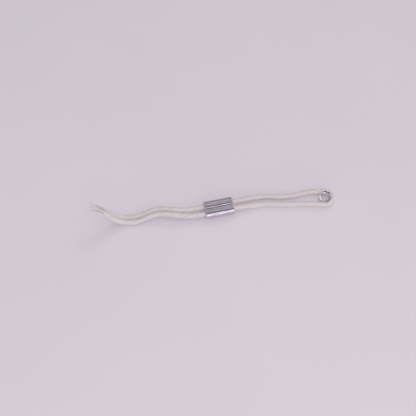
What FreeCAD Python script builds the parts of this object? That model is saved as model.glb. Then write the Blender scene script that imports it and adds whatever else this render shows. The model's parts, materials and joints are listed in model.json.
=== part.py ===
# Looped pull cord end for a pull cord switch.
#
# One soft cord is doubled back on itself. Both strands pass through a pressed aluminium double
# ferrule. On one side the doubled cord makes an eye that wraps a small waisted metal ring. On the
# other side the two tails lie side by side, then rise to cut ends where the three plies come apart.
#
# Frame: origin at the centre of the ferrule's flat base, +X along the ferrule towards the eye,
# +Z up from the surface that the part lies on. Millimetres.
import FreeCAD, Part

import math
import os

DOC_NAME = "pull_cord_end"

# Driving dimensions: alias, value.
SIZES = [
    ("cord_diameter", 1.8),
    ("ferrule_length", 10.0),
    ("ferrule_height", 3.2),
    ("strand_spacing", 2.55),
    ("lobe_radius", 1.8),
    ("end_bevel", 0.2),
    ("ring_height", 2.1),
    ("ring_sheet", 0.18),
    ("ring_bore_radius", 1.3),
    ("ring_seat_radius", 1.45),
    ("ring_rim_radius", 1.98),
    ("ring_lip_rounding", 0.04),
    ("ring_clearance", 0.12),
    ("ring_centre_along", 36.75),
    ("ring_centre_across", -3.71),
    ("ply_diameter", 0.78),
    ("ply_circle_radius", 0.47),
]

# A bend takes this share of the shorter run beside it on each side.
BEND_SHARE = 0.45

# Where the groove's arc lies from the cord that it holds.
GROOVE_RADIUS = "(Sizes.cord_diameter / 2 + Sizes.ring_clearance)"

# The cord wraps the ring between these bearings from the ring's centre, in this many corners.
WRAP_START_DEG = 85.0
WRAP_END_DEG = -107.0
WRAP_CORNERS = 5

# Routes of the cord's centreline, as x, y, z from the ferrule outwards. Bends round every
# point between the first and the last.
EYE_FAR_LEG = [
    (5.0, 1.275, 1.60),
    (8.6, 1.275, 1.60),
    (12.4, 1.55, 1.04),
    (16.8, 1.32, 0.90),
    (21.5, -0.08, 0.92),
    (26.5, -0.58, 0.90),
    (31.0, -0.28, 0.92),
    (34.6, -0.68, 1.00),
]
EYE_NEAR_LEG = [
    (33.8, -5.50, 1.00),
    (30.0, -4.43, 0.92),
    (25.5, -3.68, 0.90),
    (20.5, -2.73, 0.92),
    (16.4, -1.55, 0.90),
    (12.4, -1.42, 1.04),
    (8.6, -1.275, 1.60),
    (5.0, -1.275, 1.60),
]
TAIL_FAR = [
    (-5.0, 1.275, 1.60),
    (-8.4, 1.275, 1.60),
    (-12.2, 1.25, 2.20),
    (-16.5, 2.45, 2.70),
    (-21.0, 3.80, 2.40),
    (-25.5, 3.10, 1.30),
    (-29.3, 2.70, 0.92),
    (-32.6, 3.50, 0.90),
    (-35.2, 3.80, 2.40),
    (-37.3, 4.55, 4.80),
    (-38.8, 5.20, 6.40),
]
TAIL_NEAR = [
    (-5.0, -1.275, 1.60),
    (-8.4, -1.275, 1.60),
    (-12.2, -1.00, 1.90),
    (-16.5, 0.30, 2.20),
    (-21.0, 1.70, 2.05),
    (-25.5, 1.05, 1.25),
    (-29.3, 0.62, 0.92),
    (-32.6, 1.38, 0.95),
    (-35.2, 1.78, 2.90),
    (-37.3, 2.72, 5.60),
    (-39.0, 3.42, 7.30),
]

# Where the three plies of each cut end point to.
PLY_ENDS_FAR = [(-41.5, 6.4, 9.8), (-42.6, 5.9, 9.1), (-42.8, 7.1, 8.4)]
PLY_ENDS_NEAR = [(-41.9, 4.6, 10.5), (-43.0, 3.3, 9.6), (-43.4, 4.5, 8.7)]

# Lengths of the stretches that a strand is made in, from the ferrule's mouth outwards:
# it bends up and down in the first, is straight in the second and bends sideways in the third.
STRETCHES = [("bend", 3.6), ("neck", 1.5), ("sway", 3.6)]

TOLERANCE = 1e-6


def vector(point):
    return FreeCAD.Vector(*point)


def add_sheet(doc):
    """The spreadsheet of driving dimensions, one alias a row."""
    sheet = doc.addObject("Spreadsheet::Sheet", "Sizes")
    for row, (alias, value) in enumerate(SIZES, start=1):
        sheet.set(f"A{row}", alias)
        sheet.set(f"B{row}", str(value))
        sheet.setAlias(f"B{row}", alias)
    doc.recompute()
    return sheet


def bind(obj, **expressions):
    """Tie properties of an object to cells of the sheet."""
    for name, expression in expressions.items():
        obj.setExpression(name.replace("__", "."), expression)


def add_cylinder(doc, name, radius, height, turn_to_x=False, **place):
    cylinder = doc.addObject("Part::Cylinder", name)
    bind(cylinder, Radius=radius, Height=height)
    if turn_to_x:
        cylinder.Placement.Rotation = FreeCAD.Rotation(FreeCAD.Vector(0, 1, 0), 90)
    bind(cylinder, **{f"Placement__Base__{axis}": value for axis, value in place.items()})
    return cylinder


def add_box(doc, name, length, width, height, **place):
    box = doc.addObject("Part::Box", name)
    bind(box, Length=length, Width=width, Height=height)
    bind(box, **{f"Placement__Base__{axis}": value for axis, value in place.items()})
    return box


def add_bevelled(doc, sheet, solid, name):
    """A copy of a solid with a bevel round both of its ends along X."""
    doc.recompute()
    numbers = [
        number
        for number, edge in enumerate(solid.Shape.Edges, start=1)
        if edge.BoundBox.XLength < TOLERANCE
    ]
    bevelled = doc.addObject("Part::Chamfer", name)
    bevelled.Base = solid
    bevelled.Edges = [(number, sheet.end_bevel, sheet.end_bevel) for number in numbers]
    return bevelled


def add_ferrule(doc, sheet):
    """Two barrels side by side, pressed flat above and below, with a hole for each strand."""
    length = "Sizes.ferrule_length"
    back_end = "-Sizes.ferrule_length / 2"
    middle = "Sizes.ferrule_height / 2"
    radii = {"Lobe": "Sizes.lobe_radius", "StrandHole": "Sizes.cord_diameter / 2"}
    rods = {"Lobe": [], "StrandHole": []}
    for side, sign in (("Far", ""), ("Near", "-")):
        across = f"{sign}Sizes.strand_spacing / 2"
        for kind, radius in radii.items():
            rod = add_cylinder(
                doc, kind + side, radius, length, True, x=back_end, y=across, z=middle
            )
            rods[kind].append(rod)
    lobes = [add_bevelled(doc, sheet, lobe, f"{lobe.Name}Bevelled") for lobe in rods["Lobe"]]
    spacing = "Sizes.strand_spacing"
    web = add_box(doc, "Web", length, spacing, middle, x=back_end, y=f"-{spacing} / 2", z="0")
    web_bevelled = add_bevelled(doc, sheet, web, "WebBevelled")
    press = add_box(
        doc,
        "Press",
        length,
        f"{spacing} + 2 * Sizes.lobe_radius",
        "Sizes.ferrule_height",
        x=back_end,
        y=f"-{spacing} / 2 - Sizes.lobe_radius",
        z="0",
    )
    press_bevelled = add_bevelled(doc, sheet, press, "PressBevelled")
    barrels = doc.addObject("Part::MultiFuse", "Barrels")
    barrels.Shapes = [*lobes, web_bevelled]
    pressed = doc.addObject("Part::MultiCommon", "Pressed")
    pressed.Shapes = [barrels, press_bevelled]
    strands = doc.addObject("Part::MultiFuse", "StrandHoles")
    strands.Shapes = rods["StrandHole"]
    ferrule = doc.addObject("Part::Cut", "CrimpFerrule")
    ferrule.Base = pressed
    ferrule.Tool = strands
    ferrule.Refine = True
    ferrule.Label = "crimp_ferrule"
    return ferrule


def add_ring_torus(doc, name, minor_radius):
    """Torus round the ring's axis, concentric with the cord that lies in the groove."""
    torus = doc.addObject("Part::Torus", name)
    bind(
        torus,
        Radius1=f"Sizes.ring_seat_radius + {GROOVE_RADIUS}",
        Radius2=minor_radius,
        Placement__Base__x="Sizes.ring_centre_along",
        Placement__Base__y="Sizes.ring_centre_across",
        Placement__Base__z="Sizes.ring_height / 2",
    )
    return torus


def add_cut(doc, name, base, tool):
    """The base with the tool taken away."""
    cut = doc.addObject("Part::Cut", name)
    cut.Base = base
    cut.Tool = tool
    return cut


def add_ring(doc, sheet):
    """Waisted ring: a short tube of thin sheet whose two lips roll outwards over the cord."""
    place = {"x": "Sizes.ring_centre_along", "y": "Sizes.ring_centre_across"}
    blank = add_cylinder(
        doc, "RingBlank", "Sizes.ring_rim_radius", "Sizes.ring_height", **place, z="0"
    )
    bore = add_cylinder(
        doc, "RingBore", "Sizes.ring_bore_radius", "Sizes.ring_height", **place, z="0"
    )
    throat = add_cylinder(
        doc,
        "RingThroat",
        f"Sizes.ring_seat_radius + {GROOVE_RADIUS}",
        "Sizes.ring_height",
        **place,
        z="0",
    )
    inner_torus = add_ring_torus(doc, "RingInnerTorus", f"{GROOVE_RADIUS} + Sizes.ring_sheet")
    groove = add_ring_torus(doc, "RingGroove", GROOVE_RADIUS)
    flared_core = add_cut(doc, "RingFlaredCore", throat, inner_torus)
    bored = add_cut(doc, "RingBored", blank, bore)
    flared = add_cut(doc, "RingFlared", bored, flared_core)
    waisted = add_cut(doc, "RingWaisted", flared, groove)
    doc.recompute()
    rims = [
        number
        for number, edge in enumerate(waisted.Shape.Edges, start=1)
        if isinstance(edge.Curve, Part.Circle)
        and abs(edge.Curve.Radius - sheet.ring_rim_radius) < TOLERANCE
        and edge.BoundBox.ZLength < TOLERANCE
        and abs(edge.BoundBox.Center.z - sheet.ring_height / 2) > sheet.ring_height / 2 - TOLERANCE
    ]
    ring = doc.addObject("Part::Fillet", "EyeRing")
    ring.Base = waisted
    ring.Edges = [(n, sheet.ring_lip_rounding, sheet.ring_lip_rounding) for n in rims]
    ring.Label = "eye_ring"
    return ring


def wrap_corners(sheet):
    """Corners of the route round the ring, whose sides touch the circle of the wrapped cord."""
    radius = sheet.ring_seat_radius + sheet.cord_diameter / 2 + sheet.ring_clearance
    step = (WRAP_END_DEG - WRAP_START_DEG) / WRAP_CORNERS
    reach = radius / math.cos(math.radians(step / 2))
    corners = []
    for index in range(WRAP_CORNERS):
        bearing = math.radians(WRAP_START_DEG + step * (index + 0.5))
        corners.append(
            (
                sheet.ring_centre_along + reach * math.cos(bearing),
                sheet.ring_centre_across + reach * math.sin(bearing),
                sheet.ring_height / 2,
            )
        )
    return corners


def route_edges(name, points):
    """Straight runs joined by tangent arcs through a list of points."""
    points = [vector(p) for p in points]
    edges = []
    radii = []
    start = points[0]
    for before, corner, after in zip(points, points[1:], points[2:]):
        back = before - corner
        ahead = after - corner
        shorter = min(back.Length, ahead.Length)
        half_turn = (math.pi - back.getAngle(ahead)) / 2
        setback = BEND_SHARE * shorter
        radius = setback / math.tan(half_turn)
        radii.append(radius)
        back.normalize()
        ahead.normalize()
        arc_start = corner + back * setback
        arc_end = corner + ahead * setback
        inward = back + ahead
        inward.normalize()
        depth = radius / math.cos(half_turn) - radius
        edges.append(Part.LineSegment(start, arc_start).toShape())
        edges.append(Part.Arc(arc_start, corner + inward * depth, arc_end).toShape())
        start = arc_end
    edges.append(Part.LineSegment(start, points[-1]).toShape())
    length = sum(edge.Length for edge in edges)
    print(f"{name}: length {length:.2f} mm, radii", [round(radius, 1) for radius in radii])
    return edges


def trim(edges, start, end):
    """The part of a route between two distances along it."""
    kept = []
    travelled = 0.0
    for edge in edges:
        first = max(start - travelled, 0.0)
        last = min(end - travelled, edge.Length)
        travelled += edge.Length
        if last - first < TOLERANCE:
            continue
        at = [edge.getParameterByLength(distance) for distance in (first, last)]
        kept.append(edge.Curve.toShape(*at))
    return kept


def tube(edges, radius):
    """A round solid that follows edges."""
    path = Part.Wire(edges)
    begin = edges[0].valueAt(edges[0].FirstParameter)
    tangent = edges[0].tangentAt(edges[0].FirstParameter)
    ring = Part.Wire(Part.Circle(begin, tangent, radius).toShape())
    sweep = Part.BRepOffsetAPI.MakePipeShell(path)
    sweep.add(ring)
    sweep.build()
    sweep.makeSolid()
    solid = sweep.shape()
    expected = math.pi * radius**2 * path.Length
    if abs(solid.Volume / expected - 1) > 0.002:
        raise ValueError(f"a tube of {expected:.3f} mm3 came out as {solid.Volume:.3f}")
    return solid


def add_solid(doc, label, shape):
    """A sub-part with a given shape."""
    feature = doc.addObject("Part::Feature", label)
    feature.Shape = shape
    feature.Placement = FreeCAD.Placement()
    feature.Label = label
    return feature


def add_gripped_strands(doc):
    """The two stretches of cord inside the ferrule."""
    made = []
    for side, sign in (("far", ""), ("near", "-")):
        strand = add_cylinder(
            doc,
            f"GrippedCord{side.title()}",
            "Sizes.cord_diameter / 2",
            "Sizes.ferrule_length",
            True,
            x="-Sizes.ferrule_length / 2",
            y=f"{sign}Sizes.strand_spacing / 2",
            z="Sizes.ferrule_height / 2",
        )
        strand.Label = f"gripped_cord_{side}"
        made.append(strand)
    return made


def add_eye(doc, sheet):
    """The looped strand: bend, neck, sway and leg on each side, and the bight round the ring."""
    radius = sheet.cord_diameter / 2
    corners = wrap_corners(sheet)
    edges = route_edges("eye", EYE_FAR_LEG + corners + EYE_NEAR_LEG)
    total = sum(edge.Length for edge in edges)
    bight_start = sum(edge.Length for edge in edges[: 2 * len(EYE_FAR_LEG) - 2])
    bight_end = sum(edge.Length for edge in edges[: 2 * (len(EYE_FAR_LEG) + WRAP_CORNERS) - 1])
    made = []
    reached = 0.0
    for part, length in STRETCHES:
        for side, span in (
            ("far", (reached, reached + length)),
            ("near", (total - reached - length, total - reached)),
        ):
            shape = tube(trim(edges, *span), radius)
            made.append(add_solid(doc, f"eye_{part}_{side}", shape))
        reached += length
    made.append(
        add_solid(doc, "eye_leg_far", tube(trim(edges, reached, bight_start), radius))
    )
    made.append(
        add_solid(doc, "eye_leg_near", tube(trim(edges, bight_end, total - reached), radius))
    )
    bight = tube(trim(edges, bight_start, bight_end), radius)
    made.append(add_solid(doc, "eye_bight", bight))
    return made


def add_tail(doc, sheet, side, route, ply_ends):
    """A free tail: bend, neck, sway, the long stretch and the three plies at its cut end."""
    radius = sheet.cord_diameter / 2
    edges = route_edges(f"tail_{side}", route)
    total = sum(edge.Length for edge in edges)
    made = []
    reached = 0.0
    for part, length in STRETCHES:
        shape = tube(trim(edges, reached, reached + length), radius)
        made.append(add_solid(doc, f"tail_{part}_{side}", shape))
        reached += length
    made.append(add_solid(doc, f"tail_{side}", tube(trim(edges, reached, total), radius)))
    made += add_plies(doc, sheet, side, route, ply_ends)
    return made


def add_plies(doc, sheet, side, route, ply_ends):
    """Three short plies that leave the end face of a tail and spread apart."""
    end = vector(route[-1])
    along = end - vector(route[-2])
    along.normalize()
    across = along.cross(FreeCAD.Vector(0, 0, 1))
    across.normalize()
    upward = across.cross(along)
    made = []
    for index, target in enumerate(ply_ends):
        bearing = math.radians(90 + 120 * index)
        offset = across * math.cos(bearing) + upward * math.sin(bearing)
        start = end + offset * sheet.ply_circle_radius
        straight = start + along * (1.6 * sheet.ply_diameter)
        name = f"ply_{side}_{index + 1}"
        edges = route_edges(name, [tuple(start), tuple(straight), target])
        made.append(add_solid(doc, name, tube(edges, sheet.ply_diameter / 2)))
    return made


def check_document(doc, subparts):
    """Stop if any object failed or any sub-part isn't a sound solid."""
    for obj in doc.Objects:
        if {"Invalid", "Error"} & set(obj.State):
            raise RuntimeError(f"{obj.Name} is {obj.State}")
    for part in subparts:
        shape = part.Shape
        if shape.isNull() or not shape.isValid() or not shape.Solids:
            raise RuntimeError(f"{part.Label} has no valid solid")


def main():
    doc = FreeCAD.newDocument(DOC_NAME)
    sheet = add_sheet(doc)
    subparts = [add_ferrule(doc, sheet), add_ring(doc, sheet)]
    subparts += add_gripped_strands(doc)
    subparts += add_eye(doc, sheet)
    subparts += add_tail(doc, sheet, "far", TAIL_FAR, PLY_ENDS_FAR)
    subparts += add_tail(doc, sheet, "near", TAIL_NEAR, PLY_ENDS_NEAR)
    doc.recompute()
    check_document(doc, subparts)
    os.makedirs("parts", exist_ok=True)
    for part in subparts:
        part.Shape.exportStep(f"parts/{part.Label}.step")
        print(f"{part.Label}: {part.Shape.Volume:.3f} mm3")


main()
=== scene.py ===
# Looped pull cord end: a soft cord doubled back through a pressed aluminium ferrule, with an
# eye round a waisted metal ring and two frayed tails. Metres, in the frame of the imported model.
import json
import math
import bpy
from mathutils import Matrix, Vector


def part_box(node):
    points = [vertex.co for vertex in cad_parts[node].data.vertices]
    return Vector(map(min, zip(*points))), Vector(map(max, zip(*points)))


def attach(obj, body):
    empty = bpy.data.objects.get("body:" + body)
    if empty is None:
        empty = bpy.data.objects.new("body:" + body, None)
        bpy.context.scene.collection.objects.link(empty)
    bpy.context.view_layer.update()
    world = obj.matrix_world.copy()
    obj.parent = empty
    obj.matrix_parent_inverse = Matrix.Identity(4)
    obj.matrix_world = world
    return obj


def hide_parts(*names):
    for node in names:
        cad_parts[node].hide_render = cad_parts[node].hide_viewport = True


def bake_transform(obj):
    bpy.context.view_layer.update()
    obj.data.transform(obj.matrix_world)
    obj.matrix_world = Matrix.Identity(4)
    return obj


bl_info = {
    "name": "Pull Cord End",
    "version": (1, 0, 0),
    "blender": (4, 5, 0),
    "location": "View3D > Sidebar > Pull Cord",
    "description": "Builds a looped pull cord end with its ferrule, ring and frayed tails",
    "category": "Add Mesh",
}

import bmesh
import bpy
import numpy as np
from bpy.props import (
    FloatProperty,
    FloatVectorProperty,
    IntProperty,
    PointerProperty,
)
from mathutils import Vector

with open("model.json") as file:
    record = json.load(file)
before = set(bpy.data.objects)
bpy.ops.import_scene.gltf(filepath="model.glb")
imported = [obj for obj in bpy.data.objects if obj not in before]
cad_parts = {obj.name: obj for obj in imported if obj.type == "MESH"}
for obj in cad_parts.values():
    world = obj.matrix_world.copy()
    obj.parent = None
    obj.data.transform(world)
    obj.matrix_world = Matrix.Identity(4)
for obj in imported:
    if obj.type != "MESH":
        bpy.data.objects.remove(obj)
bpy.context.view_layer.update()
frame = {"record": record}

MM = 0.001
UP = np.array([0.0, 0.0, 1.0])

FERRULE_LOW, FERRULE_HIGH = (Vector(corner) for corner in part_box("crimp_ferrule"))
STRAND_LOW, STRAND_HIGH = (Vector(corner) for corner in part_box("gripped_cord_far"))
RING_LOW, RING_HIGH = (Vector(corner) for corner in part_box("eye_ring"))
MOUTH = FERRULE_HIGH.x
STRAND_HEIGHT = (STRAND_LOW.z + STRAND_HIGH.z) / 2
STRAND_ACROSS = (STRAND_LOW.y + STRAND_HIGH.y) / 2
CORD_DIAMETER = STRAND_HIGH.z - STRAND_LOW.z
RING_CENTRE = (RING_LOW + RING_HIGH) / 2
MOUNTS = {mount["name"]: mount for mount in frame["record"]["mounts"]}

# The routes of the cord's centreline, from the ferrule's middle or mouth outwards.
EYE_FAR_LEG = [
    (0.00030, 0.001275, 0.00160),
    (0.00500, 0.001275, 0.00160),
    (0.00860, 0.001275, 0.00160),
    (0.01240, 0.00155, 0.00104),
    (0.01680, 0.00132, 0.00090),
    (0.02150, -0.00008, 0.00092),
    (0.02650, -0.00058, 0.00090),
    (0.03100, -0.00028, 0.00092),
    (0.03460, -0.00068, 0.00100),
]
EYE_NEAR_LEG = [
    (0.03380, -0.00550, 0.00100),
    (0.03000, -0.00443, 0.00092),
    (0.02550, -0.00368, 0.00090),
    (0.02050, -0.00273, 0.00092),
    (0.01640, -0.00155, 0.00090),
    (0.01240, -0.00142, 0.00104),
    (0.00860, -0.001275, 0.00160),
    (0.00500, -0.001275, 0.00160),
    (0.00030, -0.001275, 0.00160),
]
TAIL_ROUTES = {
    "far": [
        (-0.00030, 0.001275, 0.00160),
        (-0.00500, 0.001275, 0.00160),
        (-0.00840, 0.001275, 0.00160),
        (-0.01220, 0.00125, 0.00220),
        (-0.01650, 0.00245, 0.00270),
        (-0.02100, 0.00380, 0.00240),
        (-0.02550, 0.00310, 0.00130),
        (-0.02930, 0.00270, 0.00092),
        (-0.03260, 0.00350, 0.00090),
        (-0.03520, 0.00380, 0.00240),
        (-0.03730, 0.00455, 0.00480),
        (-0.03880, 0.00520, 0.00640),
    ],
    "near": [
        (-0.00030, -0.001275, 0.00160),
        (-0.00500, -0.001275, 0.00160),
        (-0.00840, -0.001275, 0.00160),
        (-0.01220, -0.00090, 0.00205),
        (-0.01650, 0.00048, 0.00258),
        (-0.02100, 0.00190, 0.00240),
        (-0.02550, 0.00125, 0.00150),
        (-0.02930, 0.00082, 0.00102),
        (-0.03260, 0.00156, 0.00102),
        (-0.03520, 0.00190, 0.00290),
        (-0.03730, 0.00272, 0.00560),
        (-0.03900, 0.00342, 0.00730),
    ],
}

# Where the three plies of each cut end point to.
PLY_ENDS = {
    "far": [(-0.0415, 0.0064, 0.0098), (-0.0426, 0.0059, 0.0091), (-0.0428, 0.0071, 0.0084)],
    "near": [(-0.0419, 0.0050, 0.0106), (-0.0430, 0.0040, 0.0100), (-0.0434, 0.0049, 0.0090)],
}

# The cord goes round the ring between these bearings, in this many corners.
WRAP_START_DEG = 85.0
WRAP_END_DEG = -107.0
WRAP_CORNERS = 5

# Both ends of the cord are cut, for the two joints beside the ferrule, in the middle of the
# short straight neck between them, this far from the ferrule's mouth.
NECK_MIDDLE = 4.35 * MM

# Each ply shows its yarns as fine ridges, this high as a share of the cord's radius. They slant
# across the ply by one yarn's width in this length.
PLIES = 3
YARNS_PER_PLY = 7
YARN_RIDGE = 0.012
YARN_SLANT = 2.6 * MM

# A ply that has come free is twisted once round in this length.
PLY_TURN = 3.2 * MM

# The lay wanders by about this angle in radians, and the cord swells by about this share of its
# radius, in waves of these lengths.
LAY_WANDER = 0.35
WANDER_LENGTH = 14 * MM
SWELL = 0.035
SWELL_LENGTH = 7 * MM

# Each tail gets thinner by this share over this last stretch, before its plies come free.
WORN_SHARE = 0.20
WORN_LENGTH = 7.0 * MM

# Each lamp's bearing and height in degrees, its distance and size in metres, the setting that
# holds its power, its share of that, whether reflections show it, and whether it casts shadows.
LAMPS = (
    ("top_light", -12, 84, 0.9, (0.85, 0.75), "top_power", 1.0, False, True),
    ("front_light", 2, 42, 0.9, (0.45, 0.30), "front_power", 1.0, False, False),
    ("strip_light", 5, 9, 0.6, (0.45, 0.04), "strip_power", 1.0, True, True),
    ("upper_strip_light", 5, 36, 0.6, (0.45, 0.12), "strip_power", 0.6, True, True),
    ("back_light", 150, 40, 0.9, (0.17, 0.17), "back_power", 1.0, True, True),
)


# --- Sizes and colours -------------------------------------------------------------------


def length_property(name, description, default):
    return FloatProperty(name=name, description=description, default=default, unit="LENGTH")


def power_property(name, description, default):
    return FloatProperty(name=name, description=description, default=default, unit="POWER")


def colour_property(name, description, default):
    return FloatVectorProperty(
        name=name, description=description, default=default, subtype="COLOR"
    )


class CordSettings(bpy.types.PropertyGroup):
    """The soft three-ply cord."""

    diameter: length_property("Diameter", "Across the plies of the finished cord", CORD_DIAMETER)
    lay_length: length_property(
        "Lay length", "Length of cord in which a ply turns once round", 9.5 * MM
    )
    ply_spread: FloatProperty(
        name="Ply spread",
        description="How far each ply's middle lies from the cord's, as a share of its radius",
        default=0.17,
        min=0.0,
        max=0.5,
        subtype="FACTOR",
    )
    step: length_property("Step", "Distance between two sections of the cord's mesh", 0.16 * MM)
    sides: IntProperty(
        name="Sides",
        description="Corners in a section of the cord's mesh",
        default=72,
        min=12,
    )
    fuzz_per_mm: FloatProperty(
        name="Fuzz",
        description="Loose fibres on each millimetre of cord",
        default=9.0,
        min=0.0,
    )
    fibre_radius: length_property("Fibre radius", "Half the thickness of a loose fibre", 0.011 * MM)
    ply_diameter: length_property("Ply diameter", "Across one ply where it comes free", 0.78 * MM)
    filaments: IntProperty(
        name="Filaments",
        description="Fibres in the brush at the end of each ply",
        default=20,
        min=0,
    )
    light_colour: colour_property("Yarn", "Colour of the clean yarn", (0.75, 0.695, 0.71))
    # Painted shade: the yarn down in the grooves between the plies is given a darker colour.
    groove_shade_colour: colour_property(
        "Grooves", "Colour of the yarn down between the plies", (0.68, 0.625, 0.63)
    )
    # Painted light: the loose fibres get a much paler colour than the yarn, to offset the shade
    # they cast on one another.
    loose_fibre_light: colour_property(
        "Loose fibres", "Colour of the fibres that stand off the cord", (0.93, 0.89, 0.90)
    )


class FerruleSettings(bpy.types.PropertyGroup):
    """The pressed double ferrule."""

    lobe_radius: length_property(
        "Barrel radius",
        "Outer radius of each barrel before it was pressed flat",
        (FERRULE_HIGH.y - FERRULE_LOW.y) / 2 - STRAND_ACROSS,
    )
    corner_softness: length_property(
        "Corner softness", "How far the pressed corners are rounded off", 0.10 * MM
    )
    end_bevel: length_property("End bevel", "Rounding of the two cut ends", 0.2 * MM)
    mouth_flare: length_property("Mouth flare", "How much each hole widens at its ends", 0.16 * MM)
    colour: colour_property("Aluminium", "Colour of the bare metal", (0.83, 0.775, 0.865))


class RingSettings(bpy.types.PropertyGroup):
    """The waisted ring in the eye."""

    seat_radius: length_property(
        "Seat radius", "Radius of the waist that the cord lies round", 1.45 * MM
    )
    clearance: length_property("Clearance", "Gap between the waist and the cord", 0.12 * MM)
    rim_radius: length_property("Rim radius", "Outer radius of the two flared lips", 2.08 * MM)
    sheet: length_property("Sheet", "Thickness of the sheet metal", 0.18 * MM)
    colour: colour_property("Plating", "Colour of the plated ring", (0.92, 0.90, 0.93))


class StageSettings(bpy.types.PropertyGroup):
    """Camera, floor and lights."""

    azimuth: FloatProperty(
        name="Azimuth",
        description="Bearing of the camera, with 0 looking along +Y",
        default=math.radians(-12.1),
        subtype="ANGLE",
    )
    elevation: FloatProperty(
        name="Elevation",
        description="How far the camera looks down",
        default=math.radians(64),
        subtype="ANGLE",
    )
    distance: length_property("Distance", "From the camera to the point it looks at", 338.9 * MM)
    focal_length: FloatProperty(
        name="Focal length",
        description="Of the camera's lens, in millimetres",
        default=85.0,
        unit="CAMERA",
    )
    aim_offset: FloatVectorProperty(
        name="Aim",
        description="Point looked at, counted from the middle of the ferrule's base",
        default=(-3.54 * MM, 1.40 * MM, 0.0),
        subtype="TRANSLATION",
        unit="LENGTH",
    )
    floor_colour: colour_property("Floor", "Colour of the pale surface", (0.80, 0.735, 0.80))
    top_power: power_property("Top light", "Power of the wide soft light overhead", 1.50)
    front_power: power_property(
        "Front light", "Power of the even fill light in front, which casts no shadow", 2.25
    )
    strip_power: power_property(
        "Strip light", "Power of the long lights in front that draw lines on the metal", 0.26
    )
    back_power: power_property(
        "Back light", "Power of the smaller light behind and to the right", 0.55
    )
    sky: FloatProperty(
        name="Sky",
        description="Brightness of the room on its brightest side, in front",
        default=0.60,
        min=0.0,
    )
    glow: FloatProperty(
        name="Glow",
        description="Brightness of the bright patch low behind and to the right",
        default=0.9,
        min=0.0,
    )
    sky_back: FloatProperty(
        name="Sky behind",
        description="Brightness of the room on its darkest side, low behind the part",
        default=0.10,
        min=0.0,
    )


class PullCordSettings(bpy.types.PropertyGroup):
    """Everything that a user of the add-on may change."""

    cord: PointerProperty(type=CordSettings)
    ferrule: PointerProperty(type=FerruleSettings)
    ring: PointerProperty(type=RingSettings)
    stage: PointerProperty(type=StageSettings)


# --- Meshes ------------------------------------------------------------------------------


class MeshParts:
    """Vertices, faces and yarn coordinates gathered for one mesh."""

    def __init__(self):
        self.points = []
        self.lay = []
        self.faces = []
        self.count = 0

    def add_tube(self, rings, lay=None):
        """A closed tube through rings, an array of sections by corners by three."""
        sections, sides, _ = rings.shape
        base = self.count
        self.points.append(rings.reshape(-1, 3))
        self.lay.append((rings if lay is None else lay).reshape(-1, 3))
        self.count += sections * sides
        corner = np.arange(sides)
        following = (corner + 1) % sides
        for section in range(sections - 1):
            low = base + section * sides
            high = low + sides
            quads = np.stack(
                [low + corner, low + following, high + following, high + corner], axis=1
            )
            self.faces.extend(quads.tolist())
        self.faces.append((base + corner[::-1]).tolist())
        self.faces.append((base + (sections - 1) * sides + corner).tolist())

    def add_fibre(self, points, radius, cord_radius):
        """A loose fibre, marked as loose by yarn coordinates outside the cord's radius, where the
        material paints it paler as painted light.
        """
        rings = fibre_rings(points, radius)
        lay = np.zeros_like(rings)
        lay[..., 0] = cord_radius * 2
        self.add_tube(rings, lay)

    def make(self, name):
        """The mesh object, shaded smooth, with the yarn coordinates as an attribute."""
        mesh = bpy.data.meshes.new(name)
        mesh.from_pydata(np.concatenate(self.points).tolist(), [], self.faces)
        lay = mesh.attributes.new("lay", "FLOAT_VECTOR", "POINT")
        lay.data.foreach_set("vector", np.concatenate(self.lay).astype(np.float32).ravel())
        mesh.shade_smooth()
        mesh.update()
        return link_object(name, mesh)


def link_object(name, data):
    obj = bpy.data.objects.new(name, data)
    bpy.context.scene.collection.objects.link(obj)
    return obj


def give_material(obj, material):
    obj.data.materials.clear()
    obj.data.materials.append(material)


class Line:
    """A smooth line with even steps, and an untwisted cross frame at each point."""

    def __init__(self, control_points, step):
        rough = nurbs_points(control_points)
        gaps = np.linalg.norm(np.diff(rough, axis=0), axis=1)
        reached = np.concatenate([[0.0], np.cumsum(gaps)])
        self.length = reached[-1]
        count = max(int(round(self.length / step)), 4) + 1
        self.along = np.linspace(0.0, self.length, count)
        self.points = np.stack(
            [np.interp(self.along, reached, rough[:, axis]) for axis in range(3)], axis=1
        )
        tangents = np.gradient(self.points, axis=0)
        self.tangents = tangents / np.linalg.norm(tangents, axis=1)[:, None]
        self.across, self.upward = self.carry_frame()

    def carry_frame(self):
        """Two unit vectors across each point, carried along with no twist of their own."""
        upward = UP - self.tangents[0] * (UP @ self.tangents[0])
        found = []
        for tangent in self.tangents:
            upward = upward - tangent * (upward @ tangent)
            upward = upward / np.linalg.norm(upward)
            found.append(upward)
        upwards = np.array(found)
        return np.cross(self.tangents, upwards), upwards

    def part(self, start, end):
        """Which points lie between two distances along the line, both ends included."""
        return np.flatnonzero((self.along >= start - 1e-9) & (self.along <= end + 1e-9))


def nurbs_points(control_points):
    """Points close together on the NURBS line with these control points."""
    curve = bpy.data.curves.new("route", "CURVE")
    curve.dimensions = "3D"
    curve.resolution_u = 40
    spline = curve.splines.new("NURBS")
    spline.points.add(len(control_points) - 1)
    for knot, place in zip(spline.points, control_points):
        knot.co = (*place, 1.0)
    spline.order_u = 3
    spline.use_endpoint_u = True
    holder = link_object("route", curve)
    bpy.context.view_layer.update()
    mesh = bpy.data.meshes.new_from_object(holder)
    points = np.array([vertex.co for vertex in mesh.vertices])
    bpy.data.objects.remove(holder)
    bpy.data.meshes.remove(mesh)
    bpy.data.curves.remove(curve)
    return points


def slow_wave(along, seed, wavelength):
    """A smooth irregular wave between about -1 and 1 along the cord."""
    phases = np.random.default_rng(seed).uniform(0, 2 * math.pi, 3)
    turns = 2 * math.pi * along / wavelength
    waves = [np.sin(turns * rate + phase) for rate, phase in zip((1.0, 1.73, 2.91), phases)]
    return (waves[0] + 0.6 * waves[1] + 0.4 * waves[2]) / 2.0


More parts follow.
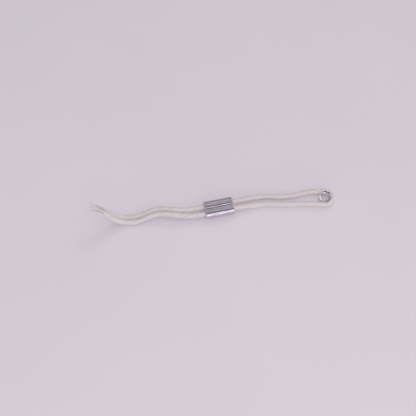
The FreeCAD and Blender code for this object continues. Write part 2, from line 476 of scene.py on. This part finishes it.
def ply_outline(bearing, spread):
    """Radius of a laid cord at a bearing from a ply's middle, with 1 as its largest."""
    sector = 2 * math.pi / PLIES
    off = (bearing + sector / 2) % sector - sector / 2
    ply = 1.0 - spread
    return spread * np.cos(off) + np.sqrt(ply**2 - (spread * np.sin(off)) ** 2)


def section_rings(line, chosen, bearing, radius):
    """Sections across a line at the chosen points, with a radius for each bearing."""
    sideways = line.across[chosen][:, None, :] * np.cos(bearing)[..., None]
    upwards = line.upward[chosen][:, None, :] * np.sin(bearing)[..., None]
    return line.points[chosen][:, None, :] + radius[..., None] * (sideways + upwards)


def yarn_coordinates(radius, from_ply, along):
    """Where each corner lies in the cord as if its plies ran straight."""
    across = (radius * np.cos(from_ply), radius * np.sin(from_ply))
    return np.stack([*across, np.broadcast_to(along, radius.shape)], axis=2)


def cord_rings(line, chosen, settings, seed, worn_from=None):
    """Sections of the laid cord at the chosen points of a line, and their yarn coordinates.

    From the distance worn_from to its end, the cord gets thinner as it loses fibres.
    """
    along = line.along[chosen][:, None]
    bearing = np.linspace(0, 2 * math.pi, settings.sides, endpoint=False)[None, :]
    wander = LAY_WANDER * slow_wave(along, seed, WANDER_LENGTH)
    turned = 2 * math.pi * along / settings.lay_length + wander
    from_ply = bearing - turned
    swell = 1.0 + SWELL * slow_wave(along, seed + 1, SWELL_LENGTH)
    ridges = np.cos(PLIES * YARNS_PER_PLY * from_ply + 2 * math.pi * along / YARN_SLANT)
    outline = ply_outline(from_ply, settings.ply_spread) * swell + YARN_RIDGE * ridges
    unworn = settings.diameter / 2 * np.minimum(outline, 1.0)
    radius = unworn
    if worn_from is not None:
        worn = np.clip((along - worn_from) / (line.length - worn_from), 0, 1)
        radius = unworn * (1 - WORN_SHARE * worn)
    rings = section_rings(line, chosen, bearing, radius)
    return rings, yarn_coordinates(unworn, from_ply, along)


def fibre_rings(points, radius):
    """Three-sided sections of a fibre that thins out along its points."""
    tangents = np.gradient(points, axis=0)
    tangents /= np.linalg.norm(tangents, axis=1)[:, None]
    helper = UP if abs(tangents[0] @ UP) < 0.9 else np.array([1.0, 0.0, 0.0])
    first = np.cross(tangents, helper)
    first /= np.linalg.norm(first, axis=1)[:, None]
    second = np.cross(tangents, first)
    thin = radius * np.linspace(1.0, 0.35, len(points))[:, None]
    rings = []
    for corner in range(3):
        bearing = 2 * math.pi * corner / 3
        rings.append(points + thin * (first * math.cos(bearing) + second * math.sin(bearing)))
    return np.stack(rings, axis=1)


def add_fuzz(parts, line, chosen, settings, seed):
    """Loose fibres that lift off the cord's surface and curl back along it."""
    random = np.random.default_rng(seed)
    reach = line.along[chosen[-1]] - line.along[chosen[0]]
    for _ in range(int(settings.fuzz_per_mm * reach / MM)):
        index = chosen[random.integers(2, len(chosen) - 2)]
        bearing = random.uniform(0, 2 * math.pi)
        outward = line.across[index] * math.cos(bearing) + line.upward[index] * math.sin(bearing)
        aside = np.cross(line.tangents[index], outward)
        drift = random.uniform(-1, 1) * line.tangents[index] + random.uniform(-0.8, 0.8) * aside
        lift = random.uniform(0.10, 0.42) * MM
        span = random.uniform(0.5, 1.5) * MM
        share = np.linspace(0, 1, 6)[:, None]
        root = line.points[index] + outward * settings.diameter * 0.42
        arch = np.sin(share * math.pi * random.uniform(0.55, 1.0))
        points = root + outward * lift * arch + drift * span * share
        points[:, 2] = np.maximum(points[:, 2], settings.fibre_radius)
        parts.add_fibre(points, settings.fibre_radius, settings.diameter / 2)


def build_strand(name, line, start, end, settings, seed, worn_from=None):
    """A stretch of cord between two distances along a line, with its fuzz."""
    chosen = line.part(start, end)
    parts = MeshParts()
    parts.add_tube(*cord_rings(line, chosen, settings, seed, worn_from))
    add_fuzz(parts, line, chosen, settings, seed + 7)
    strand = parts.make(name)
    give_material(strand, cord_material(settings))
    return strand


def wrap_corners(settings):
    """Control points round the ring, whose sides touch the circle of the wrapped cord."""
    radius = settings.ring.seat_radius + settings.cord.diameter / 2 + settings.ring.clearance
    step = (WRAP_END_DEG - WRAP_START_DEG) / WRAP_CORNERS
    reach = radius / math.cos(math.radians(step / 2))
    corners = []
    for index in range(WRAP_CORNERS):
        bearing = math.radians(WRAP_START_DEG + step * (index + 0.5))
        offset = Vector((math.cos(bearing), math.sin(bearing), 0)) * reach
        corners.append(tuple(RING_CENTRE + offset))
    return corners


# --- Materials ---------------------------------------------------------------------------


def set_range(node, *limits):
    """Set a Map Range node's limits: from low, from high, to low and to high."""
    for key, limit in zip(("From Min", "From Max", "To Min", "To Max"), limits):
        node.inputs[key].default_value = limit


class NodeTree:
    """Short ways to add and join shader nodes."""

    def __init__(self, name):
        self.material = bpy.data.materials.new(name)
        self.material.use_nodes = True
        self.tree = self.material.node_tree
        self.shader = self.tree.nodes["Principled BSDF"]

    def add(self, kind, **values):
        node = self.tree.nodes.new(kind)
        for key, value in values.items():
            setattr(node, key, value)
        return node

    def join(self, source, target):
        self.tree.links.new(source, target)

    def put(self, value, socket):
        """Join a node's output to a socket, or set the socket to a number or a colour."""
        if isinstance(value, bpy.types.NodeSocket):
            self.join(value, socket)
        elif isinstance(value, (tuple, list)):
            socket.default_value = (*value, 1.0)
        else:
            socket.default_value = value

    def shade(self, **values):
        """Put values on the sockets of the shader."""
        for key, value in values.items():
            self.put(value, self.shader.inputs[key.replace("_", " ")])

    def noise(self, vector, scale, detail, roughness=0.55):
        """Noise that is scaled along each axis by itself."""
        mapping = self.add("ShaderNodeMapping")
        mapping.inputs["Scale"].default_value = scale
        self.join(vector, mapping.inputs["Vector"])
        node = self.add("ShaderNodeTexNoise")
        self.join(mapping.outputs["Vector"], node.inputs["Vector"])
        node.inputs["Scale"].default_value = 1.0
        node.inputs["Detail"].default_value = detail
        node.inputs["Roughness"].default_value = roughness
        return node.outputs["Fac"]

    def ramp(self, factor, *stops):
        node = self.add("ShaderNodeValToRGB")
        elements = node.color_ramp.elements
        while len(elements) < len(stops):
            elements.new(0.5)
        for element, (position, colour) in zip(elements, stops):
            element.position = position
            element.color = (*colour, 1.0)
        self.join(factor, node.inputs["Fac"])
        return node.outputs["Color"]

    def between(self, factor, low, high, to_low=0.0, to_high=1.0):
        node = self.add("ShaderNodeMapRange")
        self.join(factor, node.inputs["Value"])
        set_range(node, low, high, to_low, to_high)
        return node.outputs["Result"]

    def math(self, operation, first, second):
        node = self.add("ShaderNodeMath", operation=operation)
        for socket, value in zip(node.inputs, (first, second)):
            self.put(value, socket)
        return node.outputs["Value"]

    def mix_colour(self, factor, first, second, blend="MIX"):
        node = self.add("ShaderNodeMix", data_type="RGBA", blend_type=blend)
        for key, value in (("Factor", factor), ("A", first), ("B", second)):
            self.put(value, node.inputs[key])
        return node.outputs["Result"]

    def bump(self, height, strength, distance, under=None):
        node = self.add("ShaderNodeBump")
        node.inputs["Strength"].default_value = strength
        node.inputs["Distance"].default_value = distance
        self.join(height, node.inputs["Height"])
        if under is not None:
            self.join(under, node.inputs["Normal"])
        return node.outputs["Normal"]


def cord_material(settings):
    """Soft matte yarn: fine fibres along each ply, paler crests, painted shade darkening the
    grooves between the plies, and painted light on the loose fibres.
    """
    known = bpy.data.materials.get("soft_yarn")
    if known:
        return known
    nodes = NodeTree("soft_yarn")
    lay = nodes.add("ShaderNodeAttribute", attribute_name="lay").outputs["Vector"]
    fibres = nodes.noise(lay, (9000, 9000, 700), 4.0, 0.6)
    strands = nodes.noise(lay, (3200, 3200, 260), 2.0)
    patches = nodes.noise(lay, (600, 600, 160), 2.0)
    split = nodes.add("ShaderNodeSeparateXYZ")
    nodes.join(lay, split.inputs["Vector"])
    squares = [
        nodes.math("MULTIPLY", split.outputs[axis], split.outputs[axis]) for axis in ("X", "Y")
    ]
    radius = nodes.math("SQRT", nodes.math("ADD", *squares), 0.0)
    full = settings.diameter / 2
    # Painted shade: the yarn gets darker towards the bottom of the grooves between the plies.
    crest = nodes.between(radius, 0.84 * full, 0.97 * full)
    light = tuple(settings.light_colour)
    groove_shade = tuple(settings.groove_shade_colour)
    colour = nodes.mix_colour(crest, groove_shade, light)
    # Painted light: loose fibres are made much paler, to offset the shade they cast on one another.
    fibre_light_mask = nodes.between(radius, 1.2 * full, 1.5 * full)
    colour = nodes.mix_colour(fibre_light_mask, colour, tuple(settings.loose_fibre_light))
    streaks = nodes.ramp(strands, (0.30, (0.94, 0.935, 0.93)), (0.65, (1.0, 1.0, 1.0)))
    stained = nodes.ramp(patches, (0.35, (0.97, 0.96, 0.955)), (0.70, (1.0, 1.0, 1.0)))
    colour = nodes.mix_colour(1.0, colour, streaks, "MULTIPLY")
    colour = nodes.mix_colour(1.0, colour, stained, "MULTIPLY")
    nodes.shade(Base_Color=colour)
    rough = nodes.between(fibres, 0.2, 0.8, 0.78, 0.95)
    nodes.shade(Roughness=rough)
    coarse = nodes.bump(strands, 0.35, 0.08 * MM)
    fine = nodes.bump(fibres, 0.45, 0.04 * MM, coarse)
    nodes.shade(Normal=fine)
    nodes.shade(Sheen_Weight=0.35, Sheen_Roughness=0.5)
    nodes.shade(Subsurface_Weight=0.25, Subsurface_Scale=0.4 * MM)
    return nodes.material


def aluminium_material(settings):
    """Bare drawn aluminium: lines along the barrels, dull patches and small nicks."""
    nodes = NodeTree("pressed_aluminium")
    place = nodes.add("ShaderNodeTexCoord").outputs["Object"]
    drawn = nodes.noise(place, (110, 7000, 7000), 4.0, 0.6)
    wide_lines = nodes.noise(place, (60, 2200, 2200), 2.0)
    patches = nodes.noise(place, (320, 700, 700), 3.0)
    nicks = nodes.noise(place, (2600, 2600, 2600), 2.0, 0.7)
    base = Vector(settings.colour)
    colour = nodes.ramp(patches, (0.32, base * 0.80), (0.68, base))
    lines = nodes.ramp(wide_lines, (0.35, (0.80, 0.79, 0.81)), (0.60, (1.0, 1.0, 1.0)))
    factor = nodes.between(drawn, 0.35, 0.65, 0.45, 0.95)
    colour = nodes.mix_colour(factor, colour, lines, "MULTIPLY")
    nodes.shade(Base_Color=colour)
    rough = nodes.math("ADD", nodes.between(drawn, 0.3, 0.7, 0.11, 0.21),
                       nodes.between(patches, 0.4, 0.7, 0.0, 0.06))
    nodes.shade(Roughness=rough)
    drawn_bump = nodes.bump(drawn, 0.12, 0.03 * MM)
    wide_bump = nodes.bump(wide_lines, 0.12, 0.05 * MM, drawn_bump)
    dent = nodes.between(nicks, 0.66, 0.74)
    nicked = nodes.bump(dent, -0.25, 0.02 * MM, wide_bump)
    nodes.shade(Normal=nicked)
    nodes.shade(Metallic=1.0)
    return nodes.material


def plating_material(settings):
    """Bright plating with hair scratches round the bore and darker patches here and there."""
    nodes = NodeTree("bright_plating")
    place = nodes.add("ShaderNodeTexCoord").outputs["Object"]
    hair = nodes.noise(place, (900, 900, 9000), 3.0)
    patches = nodes.noise(place, (900, 900, 900), 2.0)
    base = Vector(settings.colour)
    colour = nodes.ramp(patches, (0.35, base * 0.86), (0.65, base))
    nodes.shade(Base_Color=colour)
    rough = nodes.between(hair, 0.3, 0.7, 0.14, 0.26)
    nodes.shade(Roughness=rough)
    nodes.shade(Normal=nodes.bump(hair, 0.15, 0.02 * MM))
    nodes.shade(Metallic=1.0)
    return nodes.material


def floor_material(settings):
    """Pale matte paper with a faint tooth."""
    nodes = NodeTree("pale_paper")
    place = nodes.add("ShaderNodeTexCoord").outputs["Object"]
    tooth = nodes.noise(place, (1400, 1400, 1400), 4.0)
    clouds = nodes.noise(place, (16, 16, 16), 2.0)
    base = Vector(settings.floor_colour)
    colour = nodes.ramp(clouds, (0.35, base * 0.985), (0.65, base))
    nodes.shade(Base_Color=colour)
    nodes.shade(Normal=nodes.bump(tooth, 0.08, 0.05 * MM))
    nodes.shade(Roughness=0.95, Specular_IOR_Level=0.1)
    return nodes.material


# --- Operators ---------------------------------------------------------------------------


def aim(obj, target):
    """Turn a camera or light to look at a point."""
    obj.rotation_euler = (Vector(target) - obj.location).to_track_quat("-Z", "Y").to_euler()


def seen_from(azimuth, elevation):
    """The direction from the part towards a viewer at this bearing and height."""
    flat = math.cos(elevation)
    return Vector((math.sin(azimuth) * flat, -math.cos(azimuth) * flat, math.sin(elevation)))


def stage_middle():
    """The middle of the ferrule's base, on the floor."""
    middle = (FERRULE_LOW + FERRULE_HIGH) / 2
    middle.z = 0.0
    return middle


class PULLCORD_OT_camera(bpy.types.Operator):
    """Add the camera"""

    bl_idname = "pullcord.camera"
    bl_label = "Camera"

    def execute(self, context):
        settings = context.scene.pull_cord.stage
        data = bpy.data.cameras.new("camera")
        data.lens = settings.focal_length
        data.clip_start = 0.01
        camera = link_object("camera", data)
        target = stage_middle() + Vector(settings.aim_offset)
        toward = seen_from(settings.azimuth, settings.elevation)
        camera.location = target + toward * settings.distance
        aim(camera, target)
        context.scene.camera = camera
        return {"FINISHED"}


class PULLCORD_OT_eye(bpy.types.Operator):
    """Add the cord of the eye, which goes round the ring, and its two ends in the ferrule"""

    bl_idname = "pullcord.eye"
    bl_label = "Eye cord"

    def execute(self, context):
        settings = context.scene.pull_cord
        route = EYE_FAR_LEG + wrap_corners(settings) + EYE_NEAR_LEG
        line = Line(route, settings.cord.step)
        cut = (MOUTH - EYE_FAR_LEG[0][0]) + NECK_MIDDLE
        start = line.along[line.part(0, cut)[-1]]
        end = line.along[line.part(line.length - cut, line.length)[0]]
        seed = 11
        eye = build_strand("eye_cord", line, start, end, settings.cord, seed)
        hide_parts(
            *("eye_neck_far", "eye_neck_near", "eye_sway_far", "eye_sway_near"),
            *("eye_leg_far", "eye_leg_near", "eye_bight"),
        )
        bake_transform(eye)
        for side, span in (("far", (0, start)), ("near", (end, line.length))):
            stub = build_strand(f"eye_root_{side}", line, *span, settings.cord, seed)
            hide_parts(f"gripped_cord_{side}", f"eye_bend_{side}", f"eye_neck_{side}")
            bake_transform(stub)
        return {"FINISHED"}


class PULLCORD_OT_tails(bpy.types.Operator):
    """Add the two loose tails and the frayed plies at their cut ends"""

    bl_idname = "pullcord.tails"
    bl_label = "Tails"

    def execute(self, context):
        settings = context.scene.pull_cord.cord
        for side, seed in (("far", 31), ("near", 52)):
            add_tail(side, seed, settings)
        return {"FINISHED"}


def add_tail(side, seed, settings):
    """One tail: its root in the ferrule, the loose stretch and its three plies."""
    route = TAIL_ROUTES[side]
    line = Line(route, settings.step)
    cut = (MOUTH - abs(route[0][0])) + NECK_MIDDLE
    start = line.along[line.part(0, cut)[-1]]
    worn_from = line.length - WORN_LENGTH
    tail = build_strand(
        f"tail_cord_{side}", line, start, line.length, settings, seed, worn_from
    )
    body = f"tail_{side}"
    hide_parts(f"tail_neck_{side}", f"tail_sway_{side}", body)
    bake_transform(tail)
    plies = [add_ply(side, index, line, seed, settings) for index in range(PLIES)]
    root = build_strand(f"tail_root_{side}", line, 0, start, settings, seed)
    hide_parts(f"gripped_cord_{side}", f"tail_bend_{side}", f"tail_neck_{side}")
    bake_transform(root)


def add_ply(side, index, tail_line, seed, settings):
    """One ply that comes free at a tail's cut end, and the brush of fibres at its tip."""
    bearing = math.radians(90 + 360 / PLIES * index)
    offset = tail_line.across[-1] * math.cos(bearing) + tail_line.upward[-1] * math.sin(bearing)
    along = tail_line.tangents[-1]
    end = tail_line.points[-1]
    begin = end + offset * settings.diameter * 0.26
    route = [
        begin - along * settings.ply_diameter * 1.5,
        begin,
        begin + along * settings.ply_diameter * 1.6,
        np.array(PLY_ENDS[side][index]),
    ]
    line = Line([tuple(point) for point in route], settings.step)
    parts = MeshParts()
    random = np.random.default_rng(seed * 10 + index)
    sides = settings.sides // 2
    around = np.linspace(0, 2 * math.pi, sides, endpoint=False)[None, :]
    share = (line.along / line.length)[:, None]
    taper = 1.0 - 0.85 * np.clip((share - 0.25) / 0.75, 0, 1)
    turned = around - 2 * math.pi * line.along[:, None] / PLY_TURN
    strands = 1.0 + 0.10 * np.cos(3 * turned) + 0.03 * np.cos(11 * turned)
    radius = settings.ply_diameter / 2 * 0.9 * taper * strands
    # The tops of a ply's ridges count as the cord's outside, which is pale, so the painted groove
    # shade falls between the ridges.
    as_cord = settings.diameter / 2 * strands / 1.1
    lay = yarn_coordinates(as_cord, turned, line.along[:, None])
    parts.add_tube(section_rings(line, slice(None), around, radius), lay)
    for _ in range(settings.filaments):
        first = random.integers(len(line.points) // 3, len(line.points) - 4)
        add_filament(parts, line, first, random, settings)
    ply = parts.make(f"ply_end_{side}_{index + 1}")
    give_material(ply, cord_material(settings))
    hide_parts(f"ply_{side}_{index + 1}")
    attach(ply, f"tail_{side}")
    return ply


def add_filament(parts, line, first, random, settings):
    """A fibre that leaves a ply part of the way along it and waves out past its tip."""
    spread = random.uniform(0, 2 * math.pi)
    outward = line.across[first] * math.cos(spread) + line.upward[first] * math.sin(spread)
    core = line.points[first:]
    tail = line.tangents[-1] * random.uniform(0.3, 2.6) * MM
    beyond = core[-1] + tail * np.linspace(0.2, 1, 6)[:, None]
    points = np.concatenate([core[::3], beyond])
    share = np.linspace(0, 1, len(points))[:, None]
    bend = random.uniform(0.15, 1.3) * MM
    wave = 0.12 * MM * np.sin(share * random.uniform(3, 9) + spread)
    aside = np.cross(line.tangents[-1], outward)
    inner = outward * settings.ply_diameter * random.uniform(0.05, 0.36)
    points = points + inner + outward * bend * share**2 + aside * wave
    points = points - UP * 0.8 * MM * random.uniform(0, 1) * share**3
    thickness = settings.fibre_radius * random.uniform(0.8, 1.6)
    parts.add_fibre(points, thickness, settings.diameter / 2)


def ferrule_outline(settings, bearings):
    """Distance from the ferrule's middle to its pressed outline at each bearing."""
    reach = STRAND_ACROSS
    lobe = settings.lobe_radius
    across = np.cos(bearings)
    upward = np.sin(bearings)
    lobes = []
    for sign in (1, -1):
        shifted = sign * reach * across
        lobes.append(shifted + np.sqrt(shifted**2 - reach**2 + lobe**2))
    union = np.maximum(*lobes)
    half_height = (FERRULE_HIGH.z - FERRULE_LOW.z) / 2
    flat = half_height / np.maximum(np.abs(upward), 1e-6)
    joined = np.where(upward < 0, np.where(np.abs(across * flat) < reach, flat, union), union)
    soft = settings.corner_softness
    gap = joined - flat
    return (joined + flat - np.sqrt(gap**2 + soft**2)) / 2


def build_ferrule_body(settings):
    """The outside of the ferrule, a little uneven, with rounded ends."""
    corners = 240
    bearings = np.linspace(0, 2 * math.pi, corners, endpoint=False)
    outline = ferrule_outline(settings, bearings)
    half_height = (FERRULE_HIGH.z - FERRULE_LOW.z) / 2
    length = FERRULE_HIGH.x - FERRULE_LOW.x
    bevel = settings.end_bevel
    rounding = [
        (bevel * (1 - math.cos(turn)), bevel * (1 - math.sin(turn)))
        for turn in np.linspace(0, math.pi / 2, 6)
    ]
    stations = [(FERRULE_LOW.x + into, shrink) for into, shrink in rounding]
    inner = np.linspace(FERRULE_LOW.x + bevel, FERRULE_HIGH.x - bevel, 48)[1:-1]
    stations += [(x, 0.0) for x in inner]
    stations += [(FERRULE_HIGH.x - into, shrink) for into, shrink in reversed(rounding)]
    parts = MeshParts()
    rings = []
    for x, shrink in stations:
        share = (x - FERRULE_LOW.x) / length
        radius = outline - shrink + pressed_dents(share, bearings)
        y = radius * np.cos(bearings)
        z = np.clip(half_height + radius * np.sin(bearings), 0.0, None)
        rings.append(np.stack([np.full(corners, x), y, z], axis=1))
    parts.add_tube(np.array(rings))
    return parts.make("ferrule_shell")


def pressed_dents(share, bearings):
    """Small unevenness left by the press, in metres: none at the base."""
    top = np.clip(np.sin(bearings), 0, 1)
    waves = np.sin(share * 5.0 + bearings * 2) + 0.4 * np.sin(share * 13.0 - bearings * 4)
    depth = 0.009 * MM
    return -depth * top * (1 + waves)


def build_hole_cutter(settings, sign):
    """A rod through one barrel that flares at both ends."""
    radius = CORD_DIAMETER / 2
    flare = settings.mouth_flare
    overrun = 0.5 * MM
    stations = [(-MOUTH - overrun, radius + flare + overrun)]
    for turn in np.linspace(0, math.pi / 2, 6):
        into = flare * math.sin(turn)
        stations.append((-MOUTH + into, radius + flare * (1 - math.cos(math.pi / 2 - turn))))
    stations += [(-x, r) for x, r in reversed(stations)]
    around = np.linspace(0, 2 * math.pi, 64, endpoint=False)
    rings = []
    for x, r in stations:
        y = sign * STRAND_ACROSS + r * np.cos(around)
        z = STRAND_HEIGHT + r * np.sin(around)
        rings.append(np.stack([np.full_like(around, x), y, z], axis=1))
    parts = MeshParts()
    parts.add_tube(np.array(rings))
    return parts.make("hole_cutter")


def cut_away(obj, cutter):
    """Subtract a mesh from another, for good, and remove it."""
    modifier = obj.modifiers.new("cut", "BOOLEAN")
    modifier.operation = "DIFFERENCE"
    modifier.solver = "EXACT"
    modifier.object = cutter
    bpy.context.view_layer.update()
    graph = bpy.context.evaluated_depsgraph_get()
    mesh = bpy.data.meshes.new_from_object(obj.evaluated_get(graph))
    obj.modifiers.clear()
    obj.data = mesh
    bpy.data.objects.remove(cutter)


class PULLCORD_OT_ferrule(bpy.types.Operator):
    """Add the pressed double ferrule"""

    bl_idname = "pullcord.ferrule"
    bl_label = "Ferrule"

    def execute(self, context):
        settings = context.scene.pull_cord.ferrule
        shell = build_ferrule_body(settings)
        for sign in (1, -1):
            cut_away(shell, build_hole_cutter(settings, sign))
        shell.data.set_sharp_from_angle(angle=math.radians(50))
        give_material(shell, aluminium_material(settings))
        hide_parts("crimp_ferrule")
        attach(shell, "grip")
        return {"FINISHED"}


def soft_corner(start, corner, end, count):
    """Points from start to end that round a corner, both ends left out."""
    points = []
    for share in np.linspace(0, 1, count + 2)[1:-1]:
        weights = ((1 - share) ** 2, 2 * share * (1 - share), share**2)
        points.append(
            tuple(
                sum(weight * place[axis] for weight, place in zip(weights, (start, corner, end)))
                for axis in range(2)
            )
        )
    return points


def ring_profile(settings):
    """Closed outline of the ring's sheet, as radius and height, once round from the waist."""
    bore = MOUNTS["eye_bore"]["dims"]["r_mm"] * MM
    half = (RING_HIGH.z - RING_LOW.z) / 2
    rim = settings.rim_radius
    groove = CORD_DIAMETER / 2 + settings.clearance
    centre = settings.seat_radius + groove
    reach = groove + settings.sheet

    def inside(turn):
        return (max(centre - reach * math.cos(turn), bore), reach * math.sin(turn))

    lip_top = (rim - settings.sheet * 0.2, half)
    lip_side = (rim, half - settings.sheet * 0.3)
    lip_under = (rim - settings.sheet * 0.1, half - settings.sheet * 0.55)
    # The bore side leaves the groove's curve at the first of these turns and flares straight out
    # past the second. The groove side follows the curve up to the third.
    leaves, flares, ends = (math.radians(turn) for turn in (37, 44, 54))
    flare = inside(flares)
    flange = tuple(a + (b - a) * 0.25 for a, b in zip(flare, lip_top))
    bent = soft_corner(inside(leaves), flare, flange, 5)
    upper = [inside(turn) for turn in np.linspace(0, leaves, 14)]
    upper += [*bent, flange]
    upper += [tuple(a + (b - a) * share for a, b in zip(flange, lip_top)) for share in (0.5, 0.9)]
    upper += soft_corner(upper[-1], (rim, half), lip_side, 4)
    upper += [lip_side, *soft_corner(lip_side, (rim, lip_under[1]), lip_under, 3), lip_under]
    turns = np.linspace(ends, 0, 20)
    upper += [(centre - groove * math.cos(turn), groove * math.sin(turn)) for turn in turns]
    lower = [(radius, -height) for radius, height in reversed(upper[1:-1])]
    return np.array(upper + lower)


def build_ring(settings):
    """The ring, turned from its profile, with the fine butt seam of a rolled tube."""
    profile = ring_profile(settings)
    turns = 144
    seam_at = math.radians(200)
    seam_depth, seam_width = 0.03 * MM, 0.03
    middle = settings.seat_radius - settings.sheet / 2
    mesh = bmesh.new()
    loops = []
    for index in range(turns):
        bearing = 2 * math.pi * index / turns
        off = (bearing - seam_at + math.pi) % (2 * math.pi) - math.pi
        seam = seam_depth * math.exp(-((off / seam_width) ** 2))
        loop = []
        for radius, height in profile:
            pinched = radius - seam * (1 if radius > middle else -1)
            loop.append(
                mesh.verts.new(
                    (
                        RING_CENTRE.x + pinched * math.cos(bearing),
                        RING_CENTRE.y + pinched * math.sin(bearing),
                        RING_CENTRE.z + height,
                    )
                )
            )
        loops.append(loop)
    for index, loop in enumerate(loops):
        ahead = loops[(index + 1) % turns]
        for corner in range(len(loop)):
            after = (corner + 1) % len(loop)
            mesh.faces.new((loop[corner], ahead[corner], ahead[after], loop[after]))
    bmesh.ops.recalc_face_normals(mesh, faces=mesh.faces)
    data = bpy.data.meshes.new("eyelet")
    mesh.to_mesh(data)
    mesh.free()
    data.shade_smooth()
    return link_object("eyelet", data)


class PULLCORD_OT_ring(bpy.types.Operator):
    """Add the waisted ring in the eye"""

    bl_idname = "pullcord.ring"
    bl_label = "Ring"

    def execute(self, context):
        settings = context.scene.pull_cord.ring
        ring = build_ring(settings)
        give_material(ring, plating_material(settings))
        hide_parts("eye_ring")
        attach(ring, "ring")
        return {"FINISHED"}


def add_area_light(name, azimuth, elevation, distance, size, power):
    """A rectangular lamp at a bearing and height in degrees, turned to the part."""
    data = bpy.data.lights.new(name, "AREA")
    data.shape = "RECTANGLE"
    data.size, data.size_y = size
    data.energy = power
    light = link_object(name, data)
    toward = seen_from(math.radians(azimuth), math.radians(elevation))
    light.location = stage_middle() + toward * distance
    aim(light, stage_middle())
    return light


def build_room(settings):
    """The dim room: brighter in front than behind, dark high to the left, with one low glow.

    Each row is a direction's bearing and height in degrees, the cosines of two angles from it, and
    the brightness at each. The first two rows are multiplied, and the third is added.
    """
    world = bpy.data.worlds.new("room")
    world.use_nodes = True
    tree = world.node_tree
    place = tree.nodes.new("ShaderNodeTexCoord")
    parts = []
    for azimuth, elevation, low, high, to_low, to_high in (
        (-12, 45, -1.0, 1.0, settings.sky_back, settings.sky),
        (-42, 69, 0.82, 0.92, 1.0, 0.02),
        (128, 28, 0.88, 0.97, 0.0, settings.glow),
    ):
        facing = tree.nodes.new("ShaderNodeVectorMath")
        facing.operation = "DOT_PRODUCT"
        facing.inputs[1].default_value = seen_from(math.radians(azimuth), math.radians(elevation))
        tree.links.new(place.outputs["Generated"], facing.inputs[0])
        fade = tree.nodes.new("ShaderNodeMapRange")
        fade.interpolation_type = "SMOOTHSTEP"
        set_range(fade, low, high, to_low, to_high)
        tree.links.new(facing.outputs["Value"], fade.inputs["Value"])
        parts.append(fade.outputs["Result"])
    strength = tree.nodes.new("ShaderNodeMath")
    strength.operation = "MULTIPLY_ADD"
    for part, socket in zip(parts, strength.inputs):
        tree.links.new(part, socket)
    background = tree.nodes["Background"]
    background.inputs["Color"].default_value = (0.99, 0.97, 1.0, 1.0)
    tree.links.new(strength.outputs["Value"], background.inputs["Strength"])
    return world


class PULLCORD_OT_stage(bpy.types.Operator):
    """Add the pale floor, the soft lights and the dim room round them"""

    bl_idname = "pullcord.stage"
    bl_label = "Stage"

    def execute(self, context):
        settings = context.scene.pull_cord.stage
        half = 1.5
        data = bpy.data.meshes.new("floor")
        corners = [(-half, -half, 0), (half, -half, 0), (half, half, 0), (-half, half, 0)]
        data.from_pydata(corners, [], [(0, 1, 2, 3)])
        floor = link_object("floor", data)
        give_material(floor, floor_material(settings))
        for name, azimuth, elevation, distance, size, power, share, glossy, shadow in LAMPS:
            strength = getattr(settings, power) * share
            light = add_area_light(name, azimuth, elevation, distance, size, strength)
            light.visible_glossy = glossy
            light.data.use_shadow = shadow
        context.scene.world = build_room(settings)
        context.scene.view_settings.view_transform = "Standard"
        return {"FINISHED"}


class PULLCORD_PT_panel(bpy.types.Panel):
    """Sidebar panel with one button for each group of pieces"""

    bl_idname = "PULLCORD_PT_panel"
    bl_label = "Pull Cord End"
    bl_space_type = "VIEW_3D"
    bl_region_type = "UI"
    bl_category = "Pull Cord"

    def draw(self, context):
        for operator in OPERATORS:
            self.layout.operator(operator.bl_idname)
        for group in ("cord", "ferrule", "ring", "stage"):
            box = self.layout.box()
            box.label(text=group.title())
            settings = getattr(context.scene.pull_cord, group)
            for name in settings.__annotations__:
                box.prop(settings, name)


OPERATORS = (
    PULLCORD_OT_camera,
    PULLCORD_OT_eye,
    PULLCORD_OT_tails,
    PULLCORD_OT_ferrule,
    PULLCORD_OT_ring,
    PULLCORD_OT_stage,
)
GROUPS = (CordSettings, FerruleSettings, RingSettings, StageSettings, PullCordSettings)
CLASSES = (*GROUPS, *OPERATORS, PULLCORD_PT_panel)


def register():
    for cls in CLASSES:
        bpy.utils.register_class(cls)
    bpy.types.Scene.pull_cord = PointerProperty(type=PullCordSettings)


def unregister():
    del bpy.types.Scene.pull_cord
    for cls in reversed(CLASSES):
        bpy.utils.unregister_class(cls)


def main():
    register()
    bpy.ops.pullcord.camera()
    bpy.ops.pullcord.eye()
    bpy.ops.pullcord.tails()
    bpy.ops.pullcord.ferrule()
    bpy.ops.pullcord.ring()
    bpy.ops.pullcord.stage()


if __name__ == "__main__":
    main()
